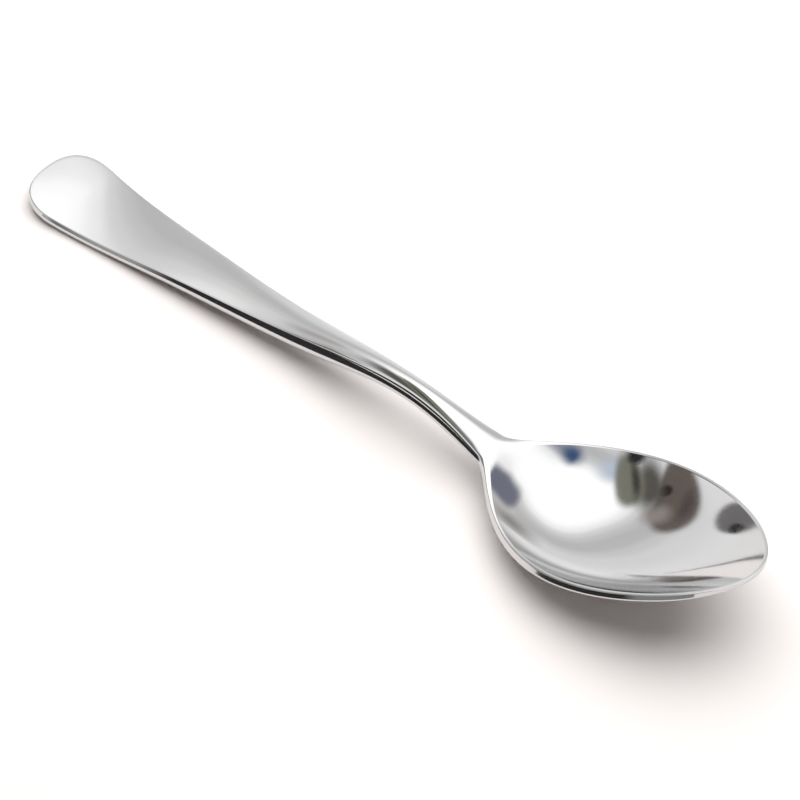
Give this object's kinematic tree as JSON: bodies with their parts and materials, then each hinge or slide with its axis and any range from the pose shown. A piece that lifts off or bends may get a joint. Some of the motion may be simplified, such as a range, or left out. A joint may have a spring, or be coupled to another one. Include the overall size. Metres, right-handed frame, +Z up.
{
  "type": "spoon",
  "caption": "Plain stainless teaspoon with an egg-shaped bowl, a narrow neck and a handle that widens to a round end.",
  "frame": {"origin": "middle of the bounding box in plan, at the table that the spoon rests on", "axes": "+X from the handle's end to the bowl's tip, +Y across to the left of the handle, +Z up out of the bowl's hollow"},
  "size_m": [0.143, 0.0304, 0.0162],
  "materials": {
    "steel": "mirror-polished stainless steel"
  },
  "bodies": {
    "root": {"spoon": "steel"}
  },
  "joints": []
}
